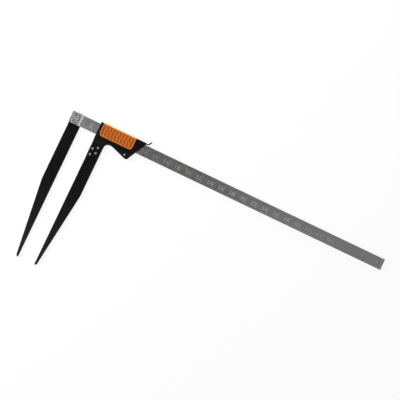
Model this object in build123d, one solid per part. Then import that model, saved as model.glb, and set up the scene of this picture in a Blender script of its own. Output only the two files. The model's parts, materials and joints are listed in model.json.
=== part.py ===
from build123d import *
import math
import os

# Tree caliper: a flat steel rule with a fixed jaw at its zero end and a sliding jaw with a grip.
# Millimetres. X runs along the rule and is zero on the fixed jaw's measuring face, Y points away
# from the jaw tips and is zero on the rule's centre line, and Z points out of the front. Z is zero
# in the middle of the fixed jaw's thickness. The slide stands 30 mm open.

# Rule
rule_length = 570.0
rule_width = 19.2
rule_thickness = 3.0
rule_edge_break = 0.4

# Jaws, flat steel with the outer edge tapered to a blunt tip
jaw_width = 20.0
jaw_thickness = 4.0
jaw_reach = 238.9             # from the rule's lower edge to the tip
jaw_straight = 104.0          # length below the rule before the taper starts
jaw_tip_width = 3.5
jaw_tip_slant = 1.6           # the tip's outer corner lies this far above its measuring corner
jaw_tip_radius = 0.5          # at the measuring corner
jaw_tip_round = 1.3           # at the outer corner
jaw_corner = 1.0
jaw_taper_blend = 30.0
jaw_edge_break = 0.35
opening = 30.0                # distance between the measuring faces

# End plate in front of the rule's zero end
plate_above = 0.3             # beyond the rule's upper edge
plate_below = 0.3             # beyond the rule's lower edge
plate_thickness = 2.5
plate_setback = 0.2           # from the measuring face
plate_corner = 0.8
plate_bevel_width = 2.5
plate_bevel_depth = 1.2

# Rivets and pins
shank_radius = 1.5
shank_fit = 0.05              # radial gap to the hole
rivet_head_radius = 2.3
rivet_head_height = 1.3
rivet_crown_flat = 0.55       # radius of the crown's flat, as a share of the head's radius
dowel_radius = 1.0
dowel_fit = 0.02
dowel_recess = 0.1            # its end lies this far below the plate's face
drill_reach = 30.0            # either way from the front's zero, past every piece
stop_head_radius = 2.25
stop_head_height = 1.6
stop_inset = 8.3              # from the rule's right end to the stop pin's middle
stop_drop = 0.7               # below the rule's centre line

# Outline of the slide from the front, measured from its measuring face
slide_length = 82.9           # along its top edge
slide_rise = 3.5              # top edge above the rule's upper edge
slide_left_corner = 1.6
slide_right_corner = 0.8
slant_angle = 27.1            # of the right-hand edge, from upright
hook_drop = 17.3              # lower corner of the finger hook below the rule's lower edge
hook_radius = 4.6
arch_drop = 6.9               # top of the finger arch below the rule's lower edge
arch_width = 12.2             # from the blade to where the arch slopes down to the hook
arch_radius = 8.0             # between blade and arch
arch_blend = 20.0             # between arch and hook

# Slide cover, moulded
slide_gap = 0.15              # running gap between slide and rule
cover_wall = 2.8              # front wall
cover_round = 0.8             # rounding of the front edges
slope_start = 5.9             # below the rule's lower edge, where the front starts to slope back
slope_end = 13.4              # below the rule's lower edge, where the slope meets the tab
tab_thickness = 2.0
tab_length = 27.0             # from the slope's foot to the tab's lower end
tab_corner = 4.0
spring_room = 1.85            # between the rule's upper edge and the roof
roof_cutback = 14.0           # the roof ends this far before the slide's right end
boss_radius = 3.3             # round the hook rivet
boss_height = 3.4             # above the back cheek

# Glides under the rule, in pockets of the cover
glide_length = 12.0
glide_depth = 2.0
glide_proud = 0.35
glide_left_at = 3.5           # from the measuring face
glide_right_at = 27.9         # its left end, back from the slide's right end

# Grip, a ribbed saddle over the front, the top and the back of the slide
grip_left_at = 5.0            # from the measuring face
grip_right_at = 18.8          # back from the slide's right end
grip_drop = 18.4              # from the rule's upper edge to the grip's lower edge
grip_rise = 0.3               # its top above the slide's top edge
grip_sheet = 1.0              # wall of the saddle under its ribs
grip_relief = 0.7             # depth of the grooves between the ribs
grip_top_wall = 1.2           # wall of the saddle over the slide's top edge
grip_recess = 0.8             # depth of the seat in the cover's front
grip_corner = 5.2
grip_round = 1.6              # along the top, from front to back
grip_fit = 0.05
border_width = 2.0
rail_width = 1.9              # plain rail above the ribs
rail_corner = 0.8
rib_count = 9
rib_width = 2.1
rib_swing = 0.45              # sideways wave of a rib
rib_wavelength = 12.5
rib_steps = 8                 # straight pieces in each wave

# Leaf spring above the rule, moulded
spring_thickness = 1.3
spring_width = 2.6
spring_touch_gap = 0.1        # left to the rule's upper edge
spring_left_at = 7.0          # from the measuring face
spring_wave_count = 2
spring_level_run = 4.9        # straight stretch between the waves and the tail
spring_bend = 20.0
tail_start = 11.0             # the strip starts to rise this far before the slide's right end
tail_reach = 3.2              # bend of the tail beyond the slide's right end
tail_level = 1.6              # bend of the tail above the strip's seat
curl_run = 2.6
curl_rise = 4.9
curl_radius = 2.5
tip_run = 0.8
tip_rise = 0.75
spring_rivet_at = 11.0        # from the measuring face
spring_shank_radius = 1.0
spring_head_radius = 1.3
spring_head_height = 0.25
spring_bore_length = 7.0      # half of it above the slide's top edge, half below

# Rivets and dowels of the end plate, from the measuring face and from the rule's centre line
plate_rivet_spots = [(-14.5, 4.8), (-6.6, 0.0), (-14.5, -4.6)]
plate_dowel_spots = [(-7.6, 5.2), (-8.0, -4.4)]

# Rivets of the blade, from the measuring face, then down from the slope's foot or up from the
# tab's lower end
jaw_rivet_high_spots = [(13.0, 5.8), (5.2, 10.4)]
jaw_rivet_low_spots = [(13.2, 11.6), (5.3, 6.3)]

# Rivet of the hook, in from the hook's lower corner and up from it
hook_rivet_spot = (5.1, 7.4)

# Places on the rule side that follow from the sizes above
rule_top = rule_width / 2
rule_bottom = -rule_width / 2
rule_right = rule_length - jaw_width
jaw_front = jaw_thickness / 2
jaw_back = -jaw_thickness / 2
rule_front = jaw_front + rule_thickness
plate_front = rule_front + plate_thickness
tip_level = rule_bottom - jaw_reach
taper_level = rule_bottom - jaw_straight
stop_place = (rule_right - stop_inset, -stop_drop)
shank_hole = shank_radius + shank_fit
dowel_hole = dowel_radius + dowel_fit

# Places on the slide that follow from the sizes above
slide_right = opening + slide_length
slide_top = rule_top + slide_rise
arch_level = rule_bottom - arch_drop
hook_level = rule_bottom - hook_drop
hook_reach = slide_length - (slide_top - hook_level) * math.tan(math.radians(slant_angle))
cheek_front = jaw_front - slide_gap
cheek_back = jaw_back - slide_gap
channel_front = rule_front + slide_gap
channel_middle = (cheek_front + channel_front) / 2
cover_front = channel_front + cover_wall
tab_front = cheek_front + tab_thickness
boss_front = cheek_front + boss_height
slope_level = rule_bottom - slope_start
foot_level = rule_bottom - slope_end
tab_level = foot_level - tab_length
roof_level = rule_top + spring_room
glide_top = rule_bottom - slide_gap
channel_floor = glide_top - glide_proud
glide_floor = glide_top - glide_depth
glide_lefts = [opening + glide_left_at, slide_right - glide_right_at]
jaw_rivet_places = [(opening + x, foot_level - drop) for x, drop in jaw_rivet_high_spots]
jaw_rivet_places += [(opening + x, tab_level + rise) for x, rise in jaw_rivet_low_spots]
hook_rivet_place = (opening + hook_reach - hook_rivet_spot[0], hook_level + hook_rivet_spot[1])

# Places on the grip
grip_left = opening + grip_left_at
grip_right = slide_right - grip_right_at
grip_length = grip_right - grip_left
grip_bottom = rule_top - grip_drop
grip_top = slide_top + grip_rise
grip_roof = grip_top - grip_top_wall
grip_seat = cover_front - grip_recess
groove_front = grip_seat + grip_sheet
groove_back = cheek_back - grip_sheet
grip_front = groove_front + grip_relief
grip_back = groove_back - grip_relief


def block(x0, x1, y0, y1, z0, z1):
    """A box between two corners."""
    return Pos((x0 + x1) / 2, (y0 + y1) / 2, (z0 + z1) / 2) * Box(x1 - x0, y1 - y0, z1 - z0)


def slab(face, z0, z1):
    """A face seen from the front, made solid between two levels."""
    return extrude(Pos(0, 0, z0) * face, z1 - z0)


def rod(place, radius, z0, z1):
    """A round bar through a place, between two levels."""
    return Pos(*place, (z0 + z1) / 2) * Cylinder(radius, z1 - z0)


def drilled(solid, places, radius):
    """The solid with a round hole right through at each place."""
    for place in places:
        solid = solid - rod(place, radius, -drill_reach, drill_reach)
    return solid


def edge_broken(plate, size):
    """The plate with a small chamfer round its front and back faces."""
    by_level = plate.faces().sort_by(Axis.Z)
    rims = by_level[0].outer_wire().edges() + by_level[-1].outer_wire().edges()
    return chamfer(rims, size)


def headed_rivet(place, back, front, head_radius, head_height):
    """A rivet from a back face to a front face, with a crowned head, ground flush at the back."""
    top = front + head_height
    profile = Polyline(
        (0, back),
        (shank_radius, back),
        (shank_radius, front),
        (head_radius, front),
        (head_radius * rivet_crown_flat, top),
        (0, top),
        close=True,
    )
    return Pos(*place, 0) * revolve(Plane.XZ * make_face(profile), Axis.Z)


def beam():
    bar = block(-jaw_width, rule_right, rule_bottom, rule_top, jaw_front, rule_front)
    bar = chamfer(bar.edges().filter_by(Axis.X), rule_edge_break)
    bar = drilled(bar, plate_rivet_spots + [stop_place], shank_hole)
    return drilled(bar, plate_dowel_spots, dowel_hole)


def fixed_jaw():
    corners = [
        (0, rule_top),
        (0, tip_level),
        (-jaw_tip_width, tip_level + jaw_tip_slant),
        (-jaw_width, taper_level),
        (-jaw_width, rule_top),
    ]
    radii = [jaw_corner, jaw_tip_radius, jaw_tip_round, jaw_taper_blend, jaw_corner]
    outline = make_face(FilletPolyline(*corners, radius=radii, close=True))
    jaw = edge_broken(slab(outline, jaw_back, jaw_front), jaw_edge_break)
    return drilled(jaw, plate_rivet_spots, shank_hole)


def end_plate():
    """Its section across the bevel, drawn along the rule and extruded down its height."""
    right = -plate_setback
    section = Polyline(
        (-jaw_width, rule_front),
        (right, rule_front),
        (right, plate_front - plate_bevel_depth),
        (right - plate_bevel_width, plate_front),
        (-jaw_width, plate_front),
        close=True,
    )
    height = plate_above + rule_width + plate_below
    plate = Pos(0, rule_top + plate_above, 0) * extrude(Plane.XZ * make_face(section), height)
    corners = plate.edges().filter_by(Axis.Z).group_by(Axis.X)[0]
    plate = fillet(corners, plate_corner)
    plate = drilled(plate, plate_rivet_spots, shank_hole)
    return drilled(plate, plate_dowel_spots, dowel_hole)


def slide_outline(low_corners):
    """The slide from the front: its top, the slanted end, the finger hook and the arch, then the
    corners of what hangs below, each with its radius."""
    corners = [
        (0, slide_top, slide_left_corner),
        (slide_length, slide_top, slide_right_corner),
        (hook_reach, hook_level, hook_radius),
        (jaw_width + arch_width, arch_level, arch_blend),
        (jaw_width, arch_level, arch_radius),
    ] + low_corners
    points = [(opening + x, y) for x, y, radius in corners]
    radii = [radius for x, y, radius in corners]
    return make_face(FilletPolyline(*points, radius=radii, close=True))


def grip_notch(z0, z1):
    """Room for the saddle where it passes over the slide's top edge."""
    left = grip_left - grip_fit
    right = grip_right + grip_fit
    return block(left, right, grip_roof - grip_fit, slide_top, z0, z1)


def moving_jaw():
    """Blade, back cheek and hook, cut from one plate."""
    outline = slide_outline([
        (jaw_width, taper_level, jaw_taper_blend),
        (jaw_tip_width, tip_level + jaw_tip_slant, jaw_tip_round),
        (0, tip_level, jaw_tip_radius),
    ])
    jaw = edge_broken(slab(outline, cheek_back, cheek_front), jaw_edge_break)
    jaw = jaw - grip_notch(cheek_back, cheek_front)
    return drilled(jaw, jaw_rivet_places + [hook_rivet_place], shank_hole)


def cover_body():
    """The cover's form: one section, run along the slide and trimmed to the slide's outline."""
    section = Polyline(
        (slide_top, cheek_front),
        (slide_top, cover_front),
        (slope_level, cover_front),
        (foot_level, tab_front),
        (tab_level, tab_front),
        (tab_level, cheek_front),
        close=True,
    )
    run = Pos(opening, 0, 0) * extrude(Plane.YZ * make_face(section), slide_length)
    outline = slide_outline([
        (jaw_width, tab_level, tab_corner),
        (0, tab_level, tab_corner),
    ])
    return run & slab(outline, cheek_front, cover_front)


def spring_rivet_hole():
    """The bore for the spring's rivet, from the channel up through the roof."""
    bore = Rot(90, 0, 0) * Cylinder(spring_shank_radius + shank_fit, spring_bore_length)
    return Pos(opening + spring_rivet_at, slide_top, channel_middle) * bore


def slide_cover():
    cover = cover_body()
    front = cover.faces().filter_by(Plane.XY).sort_by(Axis.Z)[-1]
    cover = fillet(front.edges(), cover_round)

    channel = block(opening, slide_right, channel_floor, roof_level, cheek_front, channel_front)
    tail_slot = block(
        slide_right - roof_cutback,
        slide_right,
        rule_top,
        slide_top,
        cheek_front,
        channel_front,
    )
    cover = cover - channel - tail_slot
    for left in glide_lefts:
        right = left + glide_length
        cover = cover - block(left, right, glide_floor, channel_floor, cheek_front, channel_front)

    cover = cover - slab(pad_face(-grip_fit), grip_seat, cover_front)
    cover = cover - grip_notch(cheek_front, cover_front)

    cover = cover + rod(hook_rivet_place, boss_radius, cheek_front, boss_front)
    cover = cover - rod(hook_rivet_place, boss_radius, boss_front, cover_front)
    cover = drilled(cover, jaw_rivet_places + [hook_rivet_place], shank_hole)
    return cover - spring_rivet_hole()


def pad_face(inset):
    """The grip from the front: open at the top, with round corners below."""
    left = grip_left + inset
    right = grip_right - inset
    low = grip_bottom + inset
    corners = [(left, grip_top), (left, low), (right, low), (right, grip_top)]
    radii = [0, grip_corner - inset, grip_corner - inset, 0]
    return make_face(FilletPolyline(*corners, radius=radii, close=True))


def rib_face(middle):
    """One wavy rib, longer than the pad, in short straight pieces."""
    left = []
    right = []
    step = rib_wavelength / rib_steps
    for number in range(math.ceil((grip_top - grip_bottom) / step) + 1):
        shift = rib_swing * math.sin(2 * math.pi * number / rib_steps)
        y = grip_bottom + number * step
        left.append((middle + shift - rib_width / 2, y))
        right.append((middle + shift + rib_width / 2, y))
    return make_face(Polyline(*left, *reversed(right), close=True))


def groove_face():
    """What is sunk between the ribs, inside a border and below a rail."""
    left = grip_left + border_width
    right = grip_right - border_width
    low = grip_bottom + border_width
    high = grip_top - rail_width
    corners = [(left, high), (left, low), (right, low), (right, high)]
    low_radius = grip_corner - border_width
    radii = [rail_corner, low_radius, low_radius, rail_corner]
    grooves = make_face(FilletPolyline(*corners, radius=radii, close=True))
    pitch = (grip_length - border_width) / (rib_count + 1)
    for number in range(1, rib_count + 1):
        grooves = grooves - rib_face(grip_left + border_width / 2 + number * pitch)
    return grooves


def slide_grip():
    """A saddle over the slide: rounded along the top, with wavy ribs on its front and its back."""
    corners = [
        (grip_bottom, grip_back),
        (grip_top, grip_back),
        (grip_top, grip_front),
        (grip_bottom, grip_front),
    ]
    section = make_face(FilletPolyline(*corners, radius=[0, grip_round, grip_round, 0], close=True))
    saddle = Pos(grip_left, 0, 0) * extrude(Plane.YZ * section, grip_length)
    saddle = saddle & slab(pad_face(0), grip_back, grip_front)
    saddle = saddle - block(grip_left, grip_right, grip_bottom, grip_roof, cheek_back, grip_seat)
    saddle = saddle - slab(groove_face(), groove_front, grip_front)
    return saddle - slab(groove_face(), grip_back, groove_back)


def leaf_spring():
    """A strip bowed between roof and rule, then rising out of the slide's end into a curled tail."""
    seat = roof_level - spring_thickness / 2
    touch = rule_top + spring_touch_gap + spring_thickness / 2
    free = opening + 2 * spring_rivet_at - spring_left_at
    rise = slide_right - tail_start
    wave = (rise - spring_level_run - free) / spring_wave_count
    route = [(opening + spring_left_at, seat), (free, seat)]
    for number in range(spring_wave_count):
        start = free + number * wave
        route += [(start + wave / 2, touch), (start + wave, seat)]
    bend = (slide_right + tail_reach, seat + tail_level)
    curl = (bend[0] + curl_run, bend[1] + curl_rise)
    tip = (curl[0] + tip_run, curl[1] + tip_rise)
    route += [(rise, seat), bend, curl, tip]
    radii = [spring_bend] * (len(route) - 4) + [curl_radius, curl_radius / 2]
    path = Pos(0, 0, channel_middle) * FilletPolyline(*route, radius=radii)
    start_plane = Plane(origin=path @ 0, x_dir=(0, 0, 1), z_dir=path % 0)
    strip = sweep(start_plane * Rectangle(spring_width, spring_thickness), path=path)
    return strip - spring_rivet_hole()


def spring_rivet():
    """Holds the strip's left end up against the roof, with its flat top under the saddle."""
    seat = roof_level - spring_thickness
    head = seat - spring_head_height
    high = grip_roof - grip_fit
    profile = Polyline(
        (0, head),
        (spring_head_radius, head),
        (spring_head_radius, seat),
        (spring_shank_radius, seat),
        (spring_shank_radius, high),
        (0, high),
        close=True,
    )
    rivet = revolve(Plane.XZ * make_face(profile), Axis.Z)
    return Pos(opening + spring_rivet_at, 0, channel_middle) * Rot(-90, 0, 0) * rivet


def glide(left):
    return block(left, left + glide_length, glide_floor, glide_top, cheek_front, channel_front)


nodes = {
    "beam": beam(),
    "fixed_jaw": fixed_jaw(),
    "end_plate": end_plate(),
    "stop_pin": headed_rivet(stop_place, jaw_front, rule_front, stop_head_radius, stop_head_height),
    "moving_jaw": moving_jaw(),
    "slide_cover": slide_cover(),
    "slide_grip": slide_grip(),
    "leaf_spring": leaf_spring(),
    "spring_rivet": spring_rivet(),
    "glide_left": glide(glide_lefts[0]),
    "glide_right": glide(glide_lefts[1]),
    "hook_rivet": headed_rivet(
        hook_rivet_place,
        cheek_back,
        boss_front,
        rivet_head_radius,
        rivet_head_height,
    ),
}
for number, place in enumerate(plate_rivet_spots, 1):
    rivet = headed_rivet(place, jaw_back, plate_front, rivet_head_radius, rivet_head_height)
    nodes[f"plate_rivet_{number}"] = rivet
for number, place in enumerate(plate_dowel_spots, 1):
    nodes[f"plate_dowel_{number}"] = rod(place, dowel_radius, jaw_front, plate_front - dowel_recess)
for number, place in enumerate(jaw_rivet_places, 1):
    rivet = headed_rivet(place, cheek_back, tab_front, rivet_head_radius, rivet_head_height)
    nodes[f"jaw_rivet_{number}"] = rivet

os.makedirs("parts", exist_ok=True)
for name, shape in nodes.items():
    export_step(shape, f"parts/{name}.step")
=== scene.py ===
import bpy
import json
import math
from mathutils import Matrix, Vector

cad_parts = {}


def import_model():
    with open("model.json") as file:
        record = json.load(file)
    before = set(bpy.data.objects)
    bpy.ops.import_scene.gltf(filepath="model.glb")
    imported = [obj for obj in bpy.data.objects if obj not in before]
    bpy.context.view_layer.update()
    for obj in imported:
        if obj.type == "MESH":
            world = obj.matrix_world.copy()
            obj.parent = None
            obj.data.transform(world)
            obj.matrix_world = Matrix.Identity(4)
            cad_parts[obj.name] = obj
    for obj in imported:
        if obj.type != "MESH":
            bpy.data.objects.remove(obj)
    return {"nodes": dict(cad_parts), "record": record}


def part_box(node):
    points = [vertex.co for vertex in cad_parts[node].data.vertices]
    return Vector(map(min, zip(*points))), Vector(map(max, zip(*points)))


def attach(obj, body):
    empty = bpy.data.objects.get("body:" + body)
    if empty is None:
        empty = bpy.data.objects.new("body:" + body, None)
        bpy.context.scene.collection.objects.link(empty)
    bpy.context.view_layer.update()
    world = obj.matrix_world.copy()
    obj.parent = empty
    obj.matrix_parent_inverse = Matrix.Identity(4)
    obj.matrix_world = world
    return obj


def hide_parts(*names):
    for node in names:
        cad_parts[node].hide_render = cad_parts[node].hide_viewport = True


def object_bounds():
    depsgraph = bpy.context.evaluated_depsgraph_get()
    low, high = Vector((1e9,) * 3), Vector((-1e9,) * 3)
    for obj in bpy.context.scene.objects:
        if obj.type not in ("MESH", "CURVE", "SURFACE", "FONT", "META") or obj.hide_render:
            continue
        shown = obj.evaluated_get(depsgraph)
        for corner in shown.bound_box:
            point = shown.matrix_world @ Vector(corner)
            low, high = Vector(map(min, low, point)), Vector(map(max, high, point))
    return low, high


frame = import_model()
cad_low, cad_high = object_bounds()

MM = 0.001
nodes = frame["nodes"]
rule_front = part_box("beam")[1].z
rule_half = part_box("beam")[1].y

# Heights of the rivet heads, from their seats up, and the fineness of their balls
RIVET_HEAD = 1.3 * MM
STOP_HEAD = 1.6 * MM
SHANK_RADIUS = 1.5 * MM
BALL_SIDES = 40
BALL_RINGS = 64

# Scale cut into the rule: a tick at each even centimetre, with its number on the left of it
SCALE_STEP = 20 * MM
SCALE_COUNT = 23
SCALE_DEPTH = 0.15 * MM
FIGURE_SIZE = 9.2 * MM
FIGURE_FOOT = -3.9 * MM
FIGURE_GAP = 1.0 * MM
FIGURE_SPACING = 1.16
FIGURE_CURVE_STEPS = 3
TICK_TOP = 5.4 * MM
TICK_FOOT = -5.8 * MM
TICK_WIDTH = 0.5 * MM
TICK_WAIST = -4.2 * MM
TICK_FOOT_SPREAD = 2.2

# How far the sharp edges of these pieces are rounded off
SOFT_EDGES = {
    "slide_grip": 0.25 * MM,
    "slide_cover": 0.2 * MM,
    "end_plate": 0.15 * MM,
    "glide_left": 0.3 * MM,
    "glide_right": 0.3 * MM,
}

# Edges that turn less than the first angle shade as smooth, those of a rounded piece less than the
# second. Edges that turn more than the third are rounded off.
SMOOTH_BELOW = 30
ROUNDED_SMOOTH_BELOW = 50
SHARP_ABOVE = 35

# Corners of a CAD mesh that lie within the first gap are joined. The scale's cutters and the rivets'
# balls have smaller faces, so there only those within the second gap are joined or pulled to a cut.
JOIN_GAP = 0.01 * MM
FINE_GAP = 0.001 * MM

# The leaf spring's tail is this much thicker on each side, from this far outside the slide on
TAIL_GROWTH = 0.3 * MM
TAIL_CLEARANCE = 0.3 * MM

# The scale is crisp up to the first length and faded by wear from the second on, down to this share
FADE_FROM = 260 * MM
FADE_TO = 460 * MM
FADED = 0.35

# The end plate's bevel is fresh-ground and is also painted bright as a painted highlight for the light it
# catches, and so is a strip of the flat beside it
BEVEL_WIDTH = 2.5 * MM
BRIGHT_BROW = 1.2 * MM

# A painted highlight along the rule's edges, for the sheen their chamfers catch on top of the slide's
# rubbing, reaches this far in from each edge
EDGE_SHEEN = 1.0 * MM

# The grip's rib colour reaches down to the first depth, with painted shade below it, and a pale painted
# highlight covers its crest down to the second
UNSHADED_RIB = 0.45 * MM
PALE_CREST = 1.8 * MM

# The jaws' coat turns greyer from this far below the rule's middle, and is greyest at the tips
TIP_GREY_FROM = 110 * MM
TIP_GREY_FULL = 245 * MM

# View: straight down, turned about the vertical, through a long lens; lengths in metres
VIEW_TURN = math.radians(25.55)
VIEW_CENTRE = Vector((231.8 * MM, -33.5 * MM, 0))
VIEW_WIDTH = 660.6 * MM
VIEW_DISTANCE = 1.5
SENSOR_WIDTH = 36.0

# Studio: the floor's size in metres, the share of glow in its white, and the world's brightness
# at the walls, overhead, and on the dark wall as a share of the others
FLOOR_SIZE = 8.0
FLOOR_GLOW = 0.88
WALLS = 0.45
OVERHEAD = 0.18
DARK_WALL = 0.08

# Lamps: distance from the view's centre in metres, degrees round from the view's right, degrees up
# from the floor, size in metres, power in watts
LAMPS = {
    "left_softbox": (1.3, 165, 35, 0.5, 12.0),
    "top_softbox": (1.3, 80, 40, 0.7, 7.0),
    "left_overhead": (1.3, 155, 62, 0.28, 0.66),
    "right_overhead": (1.3, -25, 76, 0.6, 0.5),
    "bevel_strip": (1.7, -25.5, 53.5, 0.4, 1.35),
}


def linear(code):
    """A hex colour of the screen as the linear values that the shader takes."""
    parts = [int(code[start:start + 2], 16) / 255 for start in (1, 3, 5)]
    return [part / 12.92 if part < 0.04045 else ((part + 0.055) / 1.055) ** 2.4 for part in parts] + [1.0]


def add(tree, kind, inputs=None, stops=(), **settings):
    """A node with its settings; an input takes a value or another node's output. The stops of a
    colour ramp are pairs of a position and a hex colour."""
    made = tree.nodes.new(kind)
    for name, value in settings.items():
        setattr(made, name, value)
    for name, value in (inputs or {}).items():
        if isinstance(value, bpy.types.NodeSocket):
            tree.links.new(value, made.inputs[name])
        else:
            made.inputs[name].default_value = value
    if stops:
        elements = made.color_ramp.elements
        while len(elements) < len(stops):
            elements.new(0.5)
        for element, (position, code) in zip(elements, stops):
            element.position = position
            element.color = linear(code)
    return made


def emptied(owner):
    """The node tree of a material or a world, with nothing in it."""
    owner.use_nodes = True
    owner.node_tree.nodes.clear()
    return owner.node_tree


def new_material(name):
    """A material with only a shader in it."""
    material = bpy.data.materials.new(name)
    tree = emptied(material)
    shader = add(tree, "ShaderNodeBsdfPrincipled")
    add(tree, "ShaderNodeOutputMaterial", {"Surface": shader.outputs["BSDF"]})
    return material, tree, shader


def in_steps(tree, x, y, z):
    """Object coordinates, counted in steps of these millimetres."""
    place = add(tree, "ShaderNodeTexCoord")
    scale = (1 / (x * MM), 1 / (y * MM), 1 / (z * MM))
    mapping = add(tree, "ShaderNodeMapping", {"Vector": place.outputs["Object"], "Scale": scale})
    return mapping.outputs["Vector"]


def ground_steel():
    """Hard stainless strip, rolled and ground along its length: a soft grey, blotched by handling, with a
    pale painted highlight along both edges for the sheen their chamfers catch on top of the slide's
    rubbing, and with a scale that is cut in, pale, and faded by wear towards the far end.

    Grinding lines are some 0.03 mm wide, which no pixel shows, so they are drawn 0.5 mm wide. The
    smudges of 5 to 8 mm are as large as fingertips leave them, and the slow drift is the mill's.
    """
    material, tree, shader = new_material("ground_stainless_strip")
    streaks = add(tree, "ShaderNodeTexNoise", {
        "Vector": in_steps(tree, 22, 0.5, 0.5), "Scale": 1.0, "Detail": 3.0, "Roughness": 0.6,
    })
    blotches = add(tree, "ShaderNodeTexNoise", {
        "Vector": in_steps(tree, 8, 5, 5), "Scale": 1.0, "Detail": 4.0, "Roughness": 0.6, "Distortion": 0.6,
    })
    drifts = add(tree, "ShaderNodeTexNoise", {
        "Vector": in_steps(tree, 110, 25, 25), "Scale": 1.0, "Detail": 2.0,
    })
    fine = add(tree, "ShaderNodeMath", {
        0: streaks.outputs["Fac"], 1: blotches.outputs["Fac"],
    }, operation="ADD")
    all_three = add(tree, "ShaderNodeMath", {0: fine.outputs[0], 1: drifts.outputs["Fac"]}, operation="ADD")
    third = add(tree, "ShaderNodeMath", {0: all_three.outputs[0], 1: 3.0}, operation="DIVIDE")
    colour = add(tree, "ShaderNodeValToRGB", {"Fac": third.outputs[0]}, stops=[
        (0.32, "#838485"), (0.5, "#909191"), (0.68, "#9f9e9c"),
    ])

    place = add(tree, "ShaderNodeTexCoord")
    level = add(tree, "ShaderNodeSeparateXYZ", {"Vector": place.outputs["Object"]})
    off_centre = add(tree, "ShaderNodeMath", {0: level.outputs["Y"]}, operation="ABSOLUTE")
    # Painted highlight: both edges are painted paler, for the sheen of their chamfers, as well as for the
    # slide's rubbing
    rim = add(tree, "ShaderNodeMapRange", {
        "Value": off_centre.outputs[0],
        "From Min": rule_half - EDGE_SHEEN, "From Max": rule_half - EDGE_SHEEN / 3,
    }, interpolation_type="SMOOTHSTEP")
    wear_and_sheen = add(tree, "ShaderNodeMix", {
        "Factor": rim.outputs["Result"], "A": colour.outputs["Color"], "B": linear("#b3b0ab"),
    }, data_type="RGBA")

    # The floor of each cut: it lies below the rule's front and faces it
    facing = add(tree, "ShaderNodeSeparateXYZ", {"Vector": place.outputs["Normal"]})
    below = add(tree, "ShaderNodeMath", {
        0: level.outputs["Z"], 1: rule_front - SCALE_DEPTH / 4,
    }, operation="LESS_THAN")
    flat = add(tree, "ShaderNodeMath", {0: facing.outputs["Z"], 1: 0.9}, operation="GREATER_THAN")
    cut = add(tree, "ShaderNodeMath", {0: below.outputs[0], 1: flat.outputs[0]}, operation="MULTIPLY")
    wear = add(tree, "ShaderNodeMapRange", {
        "Value": level.outputs["X"], "From Min": FADE_FROM, "From Max": FADE_TO,
        "To Min": 1.0, "To Max": FADED,
    }, interpolation_type="SMOOTHSTEP")
    pale = add(tree, "ShaderNodeMath", {0: cut.outputs[0], 1: wear.outputs["Result"]}, operation="MULTIPLY")
    finish = add(tree, "ShaderNodeMix", {
        "Factor": pale.outputs[0], "A": wear_and_sheen.outputs["Result"], "B": linear("#dcddd8"),
    }, data_type="RGBA")
    tree.links.new(finish.outputs["Result"], shader.inputs["Base Color"])
    rough = add(tree, "ShaderNodeMapRange", {
        "Value": blotches.outputs["Fac"], "From Min": 0.3, "From Max": 0.7, "To Min": 0.25, "To Max": 0.36,
    })
    tree.links.new(rough.outputs["Result"], shader.inputs["Roughness"])
    bump = add(tree, "ShaderNodeBump", {
        "Height": streaks.outputs["Fac"], "Strength": 0.35, "Distance": 0.04 * MM,
    })
    tree.links.new(bump.outputs["Normal"], shader.inputs["Normal"])
    shader.inputs["Metallic"].default_value = 1.0
    return material


def plate_steel():
    """Bare plate steel, ground crosswise: light grey, crossed scratches, and a fresh-ground bevel with a
    painted highlight on it.

    The scratches are about 0.1 mm wide and drawn 1.2 mm wide, so that they show. The stains of
    3.4 mm are drawn at their real size.
    """
    material, tree, shader = new_material("surface_ground_plate")
    first = add(tree, "ShaderNodeTexNoise", {
        "Vector": in_steps(tree, 1.2, 9, 9), "Scale": 1.0, "Detail": 4.0, "Roughness": 0.7,
    })
    second = add(tree, "ShaderNodeTexNoise", {
        "Vector": in_steps(tree, 3.4, 3.4, 3.4), "Scale": 1.0,
        "Detail": 4.0, "Roughness": 0.6, "Distortion": 0.8,
    })
    both = add(tree, "ShaderNodeMath", {0: first.outputs["Fac"], 1: second.outputs["Fac"]}, operation="ADD")
    half = add(tree, "ShaderNodeMath", {0: both.outputs[0], 1: 0.5}, operation="MULTIPLY")
    colour = add(tree, "ShaderNodeValToRGB", {"Fac": half.outputs[0]}, stops=[
        (0.4, "#686967"), (0.5, "#868684"), (0.6, "#aaa9a6"),
    ])
    place = add(tree, "ShaderNodeTexCoord")
    facing = add(tree, "ShaderNodeSeparateXYZ", {"Vector": place.outputs["Normal"]})
    # Painted highlight: faces turned towards +X, the bevel, and a strip of the flat beside it are painted
    # pale, for the light they catch, on top of their fresh-ground finish
    bevel = add(tree, "ShaderNodeMapRange", {
        "Value": facing.outputs["X"], "From Min": 0.1, "From Max": 0.3,
    })
    level = add(tree, "ShaderNodeSeparateXYZ", {"Vector": place.outputs["Object"]})
    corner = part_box("end_plate")[1].x - BEVEL_WIDTH
    brow = add(tree, "ShaderNodeMapRange", {
        "Value": level.outputs["X"], "From Min": corner - BRIGHT_BROW, "From Max": corner,
    }, interpolation_type="SMOOTHSTEP")
    bright = add(tree, "ShaderNodeMath", {
        0: bevel.outputs["Result"], 1: brow.outputs["Result"],
    }, operation="MAXIMUM")
    finish = add(tree, "ShaderNodeMix", {
        "Factor": bright.outputs[0], "A": colour.outputs["Color"], "B": linear("#d5cecf"),
    }, data_type="RGBA")
    tree.links.new(finish.outputs["Result"], shader.inputs["Base Color"])
    bump = add(tree, "ShaderNodeBump", {
        "Height": half.outputs[0], "Strength": 0.2, "Distance": 0.06 * MM,
    })
    tree.links.new(bump.outputs["Normal"], shader.inputs["Normal"])
    rough = add(tree, "ShaderNodeMapRange", {
        "Value": bevel.outputs["Result"], "To Min": 0.45, "To Max": 0.25,
    })
    tree.links.new(rough.outputs["Result"], shader.inputs["Roughness"])
    shader.inputs["Metallic"].default_value = 0.65
    return material


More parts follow.
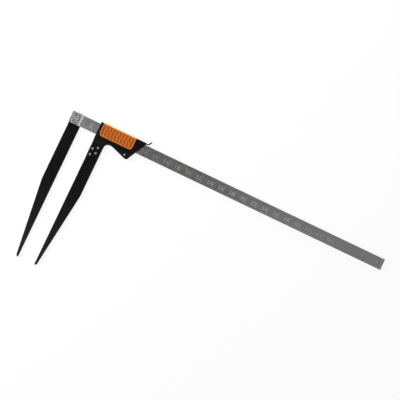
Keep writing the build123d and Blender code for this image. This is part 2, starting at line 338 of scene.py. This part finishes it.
def powder_coat():
    """Black powder coat on steel: a satin skin with fine orange peel, a little greyer in patches and
    towards the tips.

    Orange peel of 0.9 mm and patches of 18 by 45 mm are drawn at their real size.
    """
    material, tree, shader = new_material("black_powder_coat")
    peel = add(tree, "ShaderNodeTexNoise", {
        "Vector": in_steps(tree, 0.9, 0.9, 0.9), "Scale": 1.0, "Detail": 2.0,
    })
    wear_and_sheen = add(tree, "ShaderNodeTexNoise", {
        "Vector": in_steps(tree, 18, 45, 18), "Scale": 1.0, "Detail": 4.0, "Roughness": 0.6,
    })
    colour = add(tree, "ShaderNodeValToRGB", {"Fac": wear_and_sheen.outputs["Fac"]}, stops=[
        (0.35, "#060606"), (0.65, "#0b0b0b"),
    ])
    place = add(tree, "ShaderNodeTexCoord")
    level = add(tree, "ShaderNodeSeparateXYZ", {"Vector": place.outputs["Object"]})
    tip = add(tree, "ShaderNodeMapRange", {
        "Value": level.outputs["Y"], "From Min": -TIP_GREY_FROM, "From Max": -TIP_GREY_FULL,
    })
    finish = add(tree, "ShaderNodeMix", {
        "Factor": tip.outputs["Result"], "A": colour.outputs["Color"], "B": linear("#201f20"),
    }, data_type="RGBA")
    tree.links.new(finish.outputs["Result"], shader.inputs["Base Color"])
    rough = add(tree, "ShaderNodeMapRange", {
        "Value": wear_and_sheen.outputs["Fac"], "To Min": 0.5, "To Max": 0.7,
    })
    tree.links.new(rough.outputs["Result"], shader.inputs["Roughness"])
    bump = add(tree, "ShaderNodeBump", {
        "Height": peel.outputs["Fac"], "Strength": 0.4, "Distance": 0.05 * MM,
    })
    tree.links.new(bump.outputs["Normal"], shader.inputs["Normal"])
    shader.inputs["Specular IOR Level"].default_value = 0.07
    return material


def moulded_cover():
    """Black glass-filled polyamide, moulded in a spark-eroded tool: dull, with an even fine grain, and
    painted a little lighter where the cover slopes down to the jaw, as a painted sheen of the light that
    slope catches.

    The eroded grain is about 0.1 mm and drawn 0.45 mm coarse. The handled patches of 15 mm are real.
    """
    material, tree, shader = new_material("black_moulded_polyamide")
    grain = add(tree, "ShaderNodeTexNoise", {
        "Vector": in_steps(tree, 0.45, 0.45, 0.45), "Scale": 1.0, "Detail": 3.0,
    })
    handled = add(tree, "ShaderNodeTexNoise", {
        "Vector": in_steps(tree, 15, 15, 15), "Scale": 1.0, "Detail": 3.0,
    })
    colour = add(tree, "ShaderNodeValToRGB", {"Fac": handled.outputs["Fac"]}, stops=[
        (0.35, "#070707"), (0.65, "#0c0c0c"),
    ])
    place = add(tree, "ShaderNodeTexCoord")
    facing = add(tree, "ShaderNodeSeparateXYZ", {"Vector": place.outputs["Normal"]})
    # Painted sheen: faces tilted down towards the jaw are painted lighter grey, for the light the slope
    # catches
    slope_sheen = add(tree, "ShaderNodeMapRange", {
        "Value": facing.outputs["Y"], "From Min": -0.15, "From Max": -0.4,
    })
    finish = add(tree, "ShaderNodeMix", {
        "Factor": slope_sheen.outputs["Result"], "A": colour.outputs["Color"], "B": linear("#161616"),
    }, data_type="RGBA")
    tree.links.new(finish.outputs["Result"], shader.inputs["Base Color"])
    bump = add(tree, "ShaderNodeBump", {
        "Height": grain.outputs["Fac"], "Strength": 0.5, "Distance": 0.04 * MM,
    })
    tree.links.new(bump.outputs["Normal"], shader.inputs["Normal"])
    shader.inputs["Roughness"].default_value = 0.6
    shader.inputs["Specular IOR Level"].default_value = 0.07
    return material


def grip_plastic():
    """Orange moulded elastomer: satin on the rib tops, painted a darker brown down in the grooves as
    painted shade, and painted pale along the front of the rounded crest as a painted highlight.

    The clouds of dirt are real at 3.2 mm. The moulded grain is about 0.1 mm and drawn 0.35 mm coarse.
    """
    material, tree, shader = new_material("orange_moulded_elastomer")
    place = add(tree, "ShaderNodeTexCoord")
    level = add(tree, "ShaderNodeSeparateXYZ", {"Vector": place.outputs["Object"]})
    low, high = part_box("slide_grip")

    # How far a point stands out of the grooves at the front, the top or the back
    front = add(tree, "ShaderNodeMath", {
        0: level.outputs["Z"], 1: high.z - UNSHADED_RIB,
    }, operation="SUBTRACT")
    top = add(tree, "ShaderNodeMath", {
        0: level.outputs["Y"], 1: high.y - UNSHADED_RIB,
    }, operation="SUBTRACT")
    back = add(tree, "ShaderNodeMath", {
        0: low.z + UNSHADED_RIB, 1: level.outputs["Z"],
    }, operation="SUBTRACT")
    higher = add(tree, "ShaderNodeMath", {0: front.outputs[0], 1: top.outputs[0]}, operation="MAXIMUM")
    outer = add(tree, "ShaderNodeMath", {0: higher.outputs[0], 1: back.outputs[0]}, operation="MAXIMUM")
    raised = add(tree, "ShaderNodeMapRange", {
        "Value": outer.outputs[0], "From Min": -0.1 * MM, "From Max": 0.2 * MM,
    })
    clouds = add(tree, "ShaderNodeTexNoise", {
        "Vector": in_steps(tree, 3.2, 3.2, 3.2), "Scale": 1.0, "Detail": 4.0, "Roughness": 0.65,
    })
    # Painted shade: below the rib tops the grooves take a darker brown than the ribs, for the shade down in
    # them
    groove_shade = add(tree, "ShaderNodeValToRGB", {"Fac": clouds.outputs["Fac"]}, stops=[
        (0.35, "#87490f"), (0.65, "#ac5e16"),
    ])
    rib = add(tree, "ShaderNodeValToRGB", {"Fac": clouds.outputs["Fac"]}, stops=[
        (0.3, "#c26014"), (0.7, "#d56b18"),
    ])
    ribbed = add(tree, "ShaderNodeMix", {
        "Factor": raised.outputs["Result"], "A": groove_shade.outputs["Color"], "B": rib.outputs["Color"],
    }, data_type="RGBA")

    # Painted highlight: the front of the rounded crest is painted pale yellow-orange, for the light it
    # catches
    crest = add(tree, "ShaderNodeMapRange", {
        "Value": level.outputs["Y"], "From Min": high.y - PALE_CREST, "From Max": high.y - PALE_CREST / 2,
    })
    near = add(tree, "ShaderNodeMapRange", {
        "Value": level.outputs["Z"], "From Min": high.z - 2.5 * PALE_CREST, "From Max": high.z - PALE_CREST,
    }, interpolation_type="SMOOTHSTEP")
    crest_highlight = add(tree, "ShaderNodeMath", {
        0: crest.outputs["Result"], 1: near.outputs["Result"],
    }, operation="MULTIPLY")
    finish = add(tree, "ShaderNodeMix", {
        "Factor": crest_highlight.outputs[0], "A": ribbed.outputs["Result"], "B": linear("#fdb14a"),
    }, data_type="RGBA")
    tree.links.new(finish.outputs["Result"], shader.inputs["Base Color"])
    grain = add(tree, "ShaderNodeTexNoise", {
        "Vector": in_steps(tree, 0.35, 0.35, 0.35), "Scale": 1.0, "Detail": 2.0,
    })
    bump = add(tree, "ShaderNodeBump", {
        "Height": grain.outputs["Fac"], "Strength": 0.4, "Distance": 0.04 * MM,
    })
    tree.links.new(bump.outputs["Normal"], shader.inputs["Normal"])
    shader.inputs["Roughness"].default_value = 0.5
    shader.inputs["Specular IOR Level"].default_value = 0.2
    return material


def rivet_steel():
    """Zinc-bright steel rivets, tumbled: pale and fairly smooth, with small dents.

    The dents are about 0.2 mm and drawn 0.8 mm wide, so that they show.
    """
    material, tree, shader = new_material("tumbled_bright_steel")
    dents = add(tree, "ShaderNodeTexNoise", {
        "Vector": in_steps(tree, 0.8, 0.8, 0.8), "Scale": 1.0, "Detail": 3.0,
    })
    colour = add(tree, "ShaderNodeValToRGB", {"Fac": dents.outputs["Fac"]}, stops=[
        (0.35, "#868379"), (0.65, "#a09d93"),
    ])
    tree.links.new(colour.outputs["Color"], shader.inputs["Base Color"])
    bump = add(tree, "ShaderNodeBump", {
        "Height": dents.outputs["Fac"], "Strength": 0.3, "Distance": 0.02 * MM,
    })
    tree.links.new(bump.outputs["Normal"], shader.inputs["Normal"])
    shader.inputs["Metallic"].default_value = 1.0
    shader.inputs["Roughness"].default_value = 0.36
    return material


def glide_plastic():
    """Black acetal, moulded: waxy and smooth, with faint flow lines, 0.5 by 6 mm as in real ones."""
    material, tree, shader = new_material("moulded_black_acetal")
    lines = add(tree, "ShaderNodeTexNoise", {
        "Vector": in_steps(tree, 6, 0.5, 0.5), "Scale": 1.0, "Detail": 2.0,
    })
    colour = add(tree, "ShaderNodeValToRGB", {"Fac": lines.outputs["Fac"]}, stops=[
        (0.35, "#070708"), (0.65, "#0d0d0e"),
    ])
    tree.links.new(colour.outputs["Color"], shader.inputs["Base Color"])
    bump = add(tree, "ShaderNodeBump", {
        "Height": lines.outputs["Fac"], "Strength": 0.3, "Distance": 0.03 * MM,
    })
    tree.links.new(bump.outputs["Normal"], shader.inputs["Normal"])
    shader.inputs["Roughness"].default_value = 0.45
    shader.inputs["Specular IOR Level"].default_value = 0.1
    return material


finishes = {
    "rule_steel": ground_steel(),
    "plate_steel": plate_steel(),
    "jaw_paint": powder_coat(),
    "cover_plastic": moulded_cover(),
    "grip_plastic": grip_plastic(),
    "fastener_steel": rivet_steel(),
    "glide_plastic": glide_plastic(),
}
slots = {part["node"]: part["material_slot"] for part in frame["record"]["subparts"]}
bodies = {node: body for body, held in frame["record"]["behaviour"]["bodies"].items() for node in held}
for node, slot in slots.items():
    nodes[node].material_slots[0].material = finishes[slot]


def select_only(made):
    """The object selected and active, and no other."""
    bpy.ops.object.select_all(action="DESELECT")
    made.select_set(True)
    bpy.context.view_layer.objects.active = made


def start_edit(made):
    """The object alone in edit mode, with nothing selected."""
    select_only(made)
    bpy.ops.object.mode_set(mode="EDIT")
    bpy.ops.mesh.select_all(action="DESELECT")


def pick(made, wanted, part="faces"):
    """Selects the faces or vertices that pass a test, and only those."""
    bpy.ops.object.mode_set(mode="OBJECT")
    for group in (made.data.vertices, made.data.edges, made.data.polygons):
        for item in group:
            item.select = False
    items = made.data.polygons if part == "faces" else made.data.vertices
    for item in items:
        item.select = wanted(item)
    bpy.ops.object.mode_set(mode="EDIT")
    bpy.ops.mesh.select_mode(type="FACE" if part == "faces" else "VERT")


def rename(made, name):
    """Names the object and its mesh."""
    made.name = name
    made.data.name = name


def at_origin(made, name):
    """Puts the object's place into its mesh."""
    select_only(made)
    bpy.ops.object.transform_apply(location=True, rotation=True, scale=True)
    rename(made, name)


def apply_modifiers(made):
    """Makes the modifiers' work part of the mesh."""
    bpy.context.view_layer.objects.active = made
    for modifier in list(made.modifiers):
        bpy.ops.object.modifier_apply(modifier=modifier.name)


def merged_copy(node, name):
    """A copy of a CAD node with its loose triangles joined into whole flat faces."""
    copy = nodes[node].copy()
    copy.data = nodes[node].data.copy()
    rename(copy, name)
    bpy.context.scene.collection.objects.link(copy)
    start_edit(copy)
    bpy.ops.mesh.select_all(action="SELECT")
    bpy.ops.mesh.customdata_custom_splitnormals_clear()
    bpy.ops.mesh.remove_doubles(threshold=JOIN_GAP)
    bpy.ops.mesh.dissolve_limited(angle_limit=math.radians(0.5))
    bpy.ops.object.mode_set(mode="OBJECT")
    return copy


def copied(piece, name, shift):
    """A copy of a finished piece with its own mesh, moved by a shift, that stands for no node yet."""
    copy = piece.copy()
    copy.data = piece.data.copy()
    copy.data.transform(Matrix.Translation(shift))
    for fact in list(copy.keys()):
        del copy[fact]
    rename(copy, name)
    bpy.context.scene.collection.objects.link(copy)
    return copy


def shade(piece, angle=SMOOTH_BELOW):
    """Smooth shading over edges that turn less than the angle."""
    select_only(piece)
    bpy.ops.object.shade_smooth_by_angle(angle=math.radians(angle))


def stand_for(piece, node):
    """The piece takes the CAD node's place, on its body and with its finish."""
    slot = slots[node]
    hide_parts(node)
    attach(piece, bodies[node])
    piece.data.materials.clear()
    piece.data.materials.append(finishes[slot])


def scale_tick(place):
    """One tick of the scale as a solid to cut with: a thin stroke with a wider foot."""
    tall = 4 * SCALE_DEPTH
    bpy.ops.mesh.primitive_cube_add(
        size=1,
        location=(place, (TICK_TOP + TICK_FOOT) / 2, rule_front - SCALE_DEPTH + tall / 2),
        scale=(TICK_WIDTH, TICK_TOP - TICK_FOOT, tall),
    )
    tick = bpy.context.object
    at_origin(tick, "tick")
    start_edit(tick)
    bpy.ops.mesh.select_all(action="SELECT")
    bpy.ops.mesh.bisect(plane_co=(0, TICK_WAIST, 0), plane_no=(0, 1, 0), threshold=FINE_GAP)
    pick(tick, lambda corner: corner.co.y < TICK_WAIST - TICK_WIDTH, "vertices")
    bpy.ops.transform.resize(value=(TICK_FOOT_SPREAD, 1, 1), center_override=(place, 0, 0))
    bpy.ops.object.mode_set(mode="OBJECT")
    return tick


def scale_figure(number, place):
    """One number of the scale as a solid to cut with, ending just left of its tick."""
    bpy.ops.object.text_add()
    figure = bpy.context.object
    figure.data.body = str(number)
    figure.data.size = FIGURE_SIZE
    figure.data.align_x = "RIGHT"
    figure.data.space_character = FIGURE_SPACING
    figure.data.resolution_u = FIGURE_CURVE_STEPS
    figure.data.extrude = 2 * SCALE_DEPTH
    bpy.ops.object.convert(target="MESH")
    figure.location = (place - FIGURE_GAP, FIGURE_FOOT, rule_front + SCALE_DEPTH)
    at_origin(figure, "figure")
    start_edit(figure)
    bpy.ops.mesh.select_all(action="SELECT")
    bpy.ops.mesh.remove_doubles(threshold=FINE_GAP)
    bpy.ops.mesh.dissolve_limited(angle_limit=math.radians(1))
    bpy.ops.mesh.normals_make_consistent(inside=False)
    bpy.ops.object.mode_set(mode="OBJECT")
    return figure


def engraved_rule():
    """The rule with its scale cut into the front face."""
    rule = merged_copy("beam", "rule_with_scale")
    cutters = []
    for step in range(1, SCALE_COUNT + 1):
        place = step * SCALE_STEP
        cutters.append(scale_tick(place))
        cutters.append(scale_figure(2 * step, place))
    bpy.ops.object.select_all(action="DESELECT")
    for cutter in cutters:
        cutter.select_set(True)
    bpy.context.view_layer.objects.active = cutters[0]
    bpy.ops.object.join()
    scale = bpy.context.object
    cut = rule.modifiers.new("scale", "BOOLEAN")
    cut.operation = "DIFFERENCE"
    cut.solver = "MANIFOLD"
    cut.object = scale
    apply_modifiers(rule)
    bpy.data.objects.remove(scale)
    shade(rule)
    stand_for(rule, "beam")


def sturdy_tail():
    """The strip, with its curled tail moulded thicker from just outside the slide on, and no higher."""
    piece = merged_copy("leaf_spring", "leaf_spring_with_thick_tail")
    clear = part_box("slide_cover")[1].x + TAIL_CLEARANCE
    pick(piece, lambda corner: corner.co.x > clear, "vertices")
    bpy.ops.transform.shrink_fatten(value=TAIL_GROWTH, use_even_offset=True)
    bpy.ops.object.mode_set(mode="OBJECT")
    over = max(corner.co.y for corner in piece.data.vertices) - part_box("leaf_spring")[1].y
    pick(piece, lambda corner: corner.co.x > clear, "vertices")
    bpy.ops.transform.translate(value=(0, -over, 0))
    bpy.ops.object.mode_set(mode="OBJECT")
    shade(piece)
    stand_for(piece, "leaf_spring")


def domed_rivet(node, head):
    """A rivet with a round head, shaped from a ball: the cap stays, and its foot grows the shank."""
    low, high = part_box(node)
    middle = (low + high) / 2
    reach = (high.x - low.x) / 2
    seat = high.z - head
    ball = (reach ** 2 + head ** 2) / (2 * head)
    bpy.ops.object.select_all(action="DESELECT")
    bpy.ops.mesh.primitive_uv_sphere_add(
        segments=BALL_SIDES,
        ring_count=BALL_RINGS,
        radius=ball,
        location=(middle.x, middle.y, high.z - ball),
    )
    rivet = bpy.context.object
    at_origin(rivet, f"domed_{node}")
    start_edit(rivet)
    bpy.ops.mesh.select_all(action="SELECT")
    bpy.ops.mesh.bisect(
        plane_co=(0, 0, seat),
        plane_no=(0, 0, 1),
        use_fill=True,
        clear_inner=True,
        threshold=FINE_GAP,
    )
    pick(rivet, lambda face: face.normal.z < -0.9)
    bpy.ops.mesh.inset(thickness=reach - SHANK_RADIUS)
    bpy.ops.mesh.extrude_region_move(TRANSFORM_OT_translate={"value": (0, 0, low.z - seat)})
    bpy.ops.object.mode_set(mode="OBJECT")
    shade(rivet)
    stand_for(rivet, node)
    return rivet


def domed_rivets():
    """Each kind of rivet once, and copies of it for its fellows."""
    for first, fellows, head in (
        ("plate_rivet_1", ("plate_rivet_2", "plate_rivet_3"), RIVET_HEAD),
        ("jaw_rivet_1", ("jaw_rivet_2", "jaw_rivet_3", "jaw_rivet_4"), RIVET_HEAD),
        ("hook_rivet", (), RIVET_HEAD),
        ("stop_pin", (), STOP_HEAD),
    ):
        model = domed_rivet(first, head)
        for fellow in fellows:
            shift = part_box(fellow)[0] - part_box(first)[0]
            stand_for(copied(model, f"domed_{fellow}", shift), fellow)


def softened(node, width):
    """A CAD node with its sharp edges rounded off, as moulding or deburring leaves them."""
    piece = merged_copy(node, f"{node}_with_soft_edges")
    rounding = piece.modifiers.new("rounding", "BEVEL")
    rounding.width = width
    rounding.segments = 2
    rounding.limit_method = "ANGLE"
    rounding.angle_limit = math.radians(SHARP_ABOVE)
    apply_modifiers(piece)
    shade(piece, ROUNDED_SMOOTH_BELOW)
    flats = piece.modifiers.new("flats", "WEIGHTED_NORMAL")
    flats.keep_sharp = True
    apply_modifiers(piece)
    stand_for(piece, node)


def floor():
    """A pale sheet under the part. The camera sees it near white, with the part's shadow on it."""
    bpy.ops.mesh.primitive_plane_add(size=FLOOR_SIZE, location=(VIEW_CENTRE.x, VIEW_CENTRE.y, cad_low.z))
    plane = bpy.context.object
    plane.name = "floor"
    bpy.ops.object.transform_apply(location=True, rotation=True, scale=True)
    material = bpy.data.materials.new("white_card")
    tree = emptied(material)
    ray = add(tree, "ShaderNodeLightPath")
    direct = add(tree, "ShaderNodeMath", {
        0: ray.outputs["Is Camera Ray"], 1: ray.outputs["Is Glossy Ray"],
    }, operation="MAXIMUM")
    seen = add(tree, "ShaderNodeMath", {
        0: direct.outputs[0], 1: ray.outputs["Is Transmission Ray"],
    }, operation="MAXIMUM")
    card = add(tree, "ShaderNodeBsdfDiffuse", {"Color": linear("#ececec")})
    white = add(tree, "ShaderNodeBsdfDiffuse", {"Color": linear("#ffffff")})
    glow = add(tree, "ShaderNodeEmission", {"Color": linear("#ffffff"), "Strength": 1.0})
    shown = add(tree, "ShaderNodeMixShader", {0: FLOOR_GLOW, 1: white.outputs[0], 2: glow.outputs[0]})
    both = add(tree, "ShaderNodeMixShader", {0: seen.outputs[0], 1: card.outputs[0], 2: shown.outputs[0]})
    add(tree, "ShaderNodeOutputMaterial", {"Surface": both.outputs[0]})
    plane.data.materials.append(material)


def lamp(name, reach, side, rise, size, power):
    """A soft square lamp that faces the view's centre."""
    turn = VIEW_TURN + math.radians(side)
    lift = math.radians(rise)
    away = Vector((math.cos(turn) * math.cos(lift), math.sin(turn) * math.cos(lift), math.sin(lift)))
    data = bpy.data.lights.new(name, "AREA")
    data.shape = "SQUARE"
    data.size = size
    data.energy = power
    made = bpy.data.objects.new(name, data)
    bpy.context.scene.collection.objects.link(made)
    made.location = VIEW_CENTRE + away * reach
    made.visible_camera = False
    made.rotation_mode = "QUATERNION"
    made.rotation_quaternion = away.to_track_quat("Z", "Y")


def world():
    """A studio that is dim overhead, with pale walls and a dark one on the right."""
    made = bpy.data.worlds.new("studio")
    bpy.context.scene.world = made
    tree = emptied(made)
    place = add(tree, "ShaderNodeTexCoord")
    height = add(tree, "ShaderNodeSeparateXYZ", {"Vector": place.outputs["Generated"]})
    level = add(tree, "ShaderNodeMapRange", {
        "Value": height.outputs["Z"], "From Min": 0.45, "From Max": 0.95,
        "To Min": WALLS, "To Max": OVERHEAD,
    }, interpolation_type="SMOOTHSTEP")
    right = (math.cos(VIEW_TURN), math.sin(VIEW_TURN), 0)
    side = add(tree, "ShaderNodeVectorMath", {
        0: place.outputs["Generated"], 1: right,
    }, operation="DOT_PRODUCT")
    wall = add(tree, "ShaderNodeMapRange", {
        "Value": side.outputs["Value"], "From Min": 0.3, "From Max": 0.7,
        "To Min": 1.0, "To Max": DARK_WALL,
    }, interpolation_type="SMOOTHSTEP")
    walls = add(tree, "ShaderNodeMath", {
        0: level.outputs["Result"], 1: wall.outputs["Result"],
    }, operation="MULTIPLY")
    ray = add(tree, "ShaderNodeLightPath")
    strength = add(tree, "ShaderNodeMix", {
        "Factor": ray.outputs["Is Camera Ray"], "A": walls.outputs[0], "B": 1.0,
    })
    glow = add(tree, "ShaderNodeBackground", {
        "Color": linear("#ffffff"), "Strength": strength.outputs["Result"],
    })
    add(tree, "ShaderNodeOutputWorld", {"Surface": glow.outputs[0]})


def camera():
    """Looks straight down on the part, as the picture does."""
    data = bpy.data.cameras.new("camera")
    data.sensor_width = SENSOR_WIDTH
    data.lens = SENSOR_WIDTH * VIEW_DISTANCE / VIEW_WIDTH
    made = bpy.data.objects.new("camera", data)
    bpy.context.scene.collection.objects.link(made)
    made.location = (VIEW_CENTRE.x, VIEW_CENTRE.y, rule_front + VIEW_DISTANCE)
    made.rotation_euler = (0, 0, VIEW_TURN)
    bpy.context.scene.camera = made


engraved_rule()
sturdy_tail()
domed_rivets()
for node, width in SOFT_EDGES.items():
    softened(node, width)

floor()
world()
for name, setting in LAMPS.items():
    lamp(name, *setting)
camera()
bpy.context.scene.view_settings.view_transform = "Standard"
